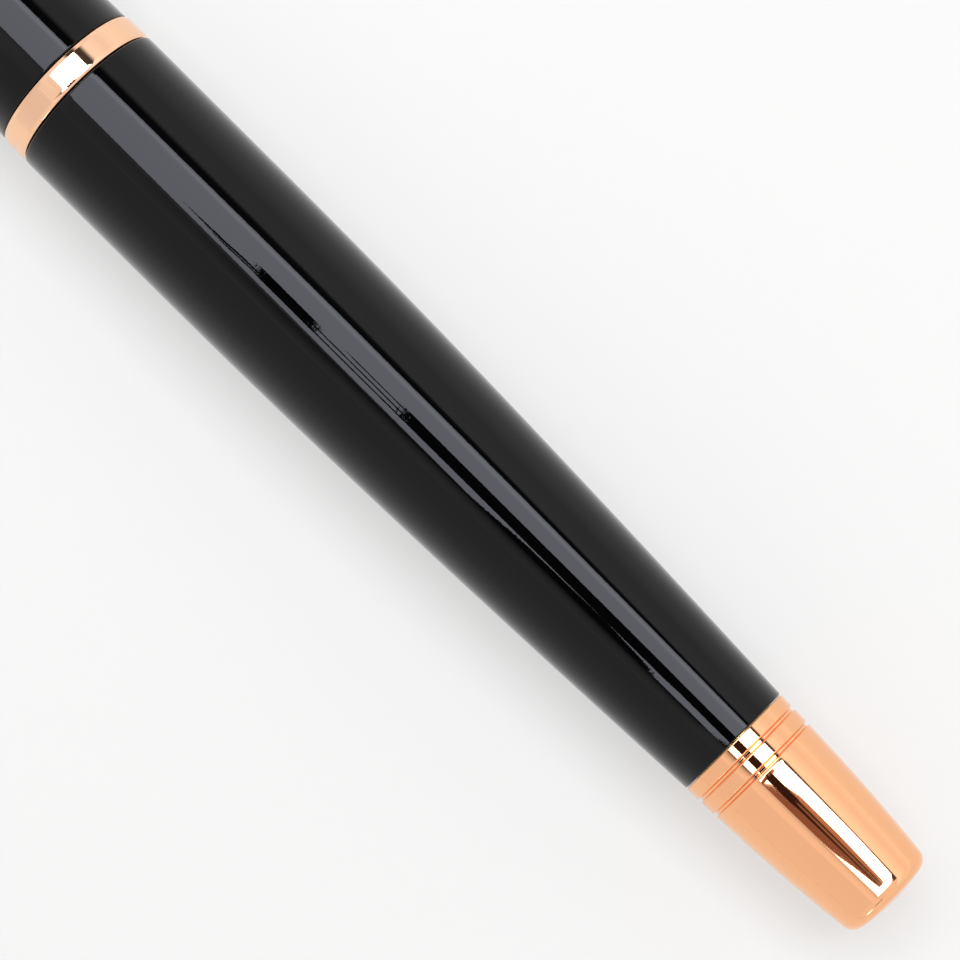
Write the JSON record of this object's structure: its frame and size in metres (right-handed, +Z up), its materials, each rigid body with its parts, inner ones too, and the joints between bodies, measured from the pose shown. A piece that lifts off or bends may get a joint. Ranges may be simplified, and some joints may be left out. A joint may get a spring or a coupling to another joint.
{
  "type": "rollerball pen",
  "caption": "Capped rollerball pen with a tapered black lacquered barrel, rose-gold lip ring, grooved tail finial, side clip and unscrewing barrel over a drawn-out refill.",
  "frame": {"origin": "centre of the flat at the barrel's tail end", "axes": "+X along the pen's axis towards the top of the cap, +Z up with the pen lying level on its cap's lip ring and clip, clip on the -Y side"},
  "size_m": [0.138, 0.0142, 0.0126],
  "materials": {
    "black_lacquer": "high gloss black lacquer over brass",
    "rose_gold": "polished rose-gold plating",
    "grip_lacquer": "polished black resin",
    "brass": "machined",
    "spring_steel": "drawn wire",
    "refill_steel": "satin",
    "black_plastic": "moulded satin",
    "white_plastic": "moulded",
    "seal_rubber": "matte",
    "ink_fibre": "ink-soaked fibre",
    "ball_carbide": "ground"
  },
  "bodies": {
    "section": {"grip_section": "grip_lacquer", "section_sleeve": "brass", "section_ring": "rose_gold", "section_seal": "seal_rubber", "nose_cone": "rose_gold"},
    "cap": {"cap_tube": "black_lacquer", "cap_lip_ring": "rose_gold", "cap_liner": "black_plastic", "cap_insert": "brass", "clip_collar": "rose_gold", "finial_stud": "brass", "cap_finial": "rose_gold"},
    "clip_arm": {"clip": "rose_gold"},
    "refill": {"refill_tube": "refill_steel", "refill_plug": "black_plastic", "ink_reservoir": "ink_fibre", "ink_feed": "ink_fibre", "point_holder": "black_plastic", "point_tube": "refill_steel"},
    "ball": {"writing_ball": "ball_carbide"},
    "spring_front": {"spring_cup": "white_plastic", "refill_spring": "spring_steel"},
    "spring_rear": {"spring_seat": "spring_steel"},
    "barrel": {"barrel_tube": "black_lacquer", "barrel_bush": "brass", "tail_finial": "rose_gold", "tail_bush": "brass"}
  },
  "joints": [
    {"name": "cap_pull", "type": "slide", "parent": "section", "child": "cap", "axis": [1, 0, 0], "range_m": [0, 0.06]},
    {"name": "clip_flex", "type": "hinge", "parent": "cap", "child": "clip_arm", "pos_m": [0.1276, -0.00496, -0.00338], "axis": [0, -0.5638, 0.8259], "range_deg": [0, 4], "stiffness_Nm_per_rad": 1.2},
    {"name": "barrel_pull", "type": "slide", "parent": "section", "child": "spring_front", "axis": [-1, 0, 0], "range_m": [0, 0.09]},
    {"name": "barrel_advance", "type": "slide", "parent": "spring_front", "child": "spring_rear", "axis": [-1, 0, 0], "range_m": [0, 0.0045], "deforming": ["refill_spring"]},
    {"name": "barrel_turn", "type": "hinge", "parent": "spring_rear", "child": "barrel", "pos_m": [0.0816, 0, 0], "axis": [-1, 0, 0], "range_deg": [0, 2160]},
    {"name": "refill_draw", "type": "slide", "parent": "section", "child": "refill", "axis": [-1, 0, 0], "range_m": [0, 0.045]},
    {"name": "ball_roll", "type": "hinge", "parent": "refill", "child": "ball", "pos_m": [0.12305, 0, 0], "axis": [0, 1, 0], "continuous": true}
  ],
  "couplings": [
    {"joint": "barrel_advance", "follows": "barrel_turn", "m_per_rad": 0.00011937},
    {"joint": "refill_draw", "follows": "barrel_pull", "ratio": 0.5}
  ]
}
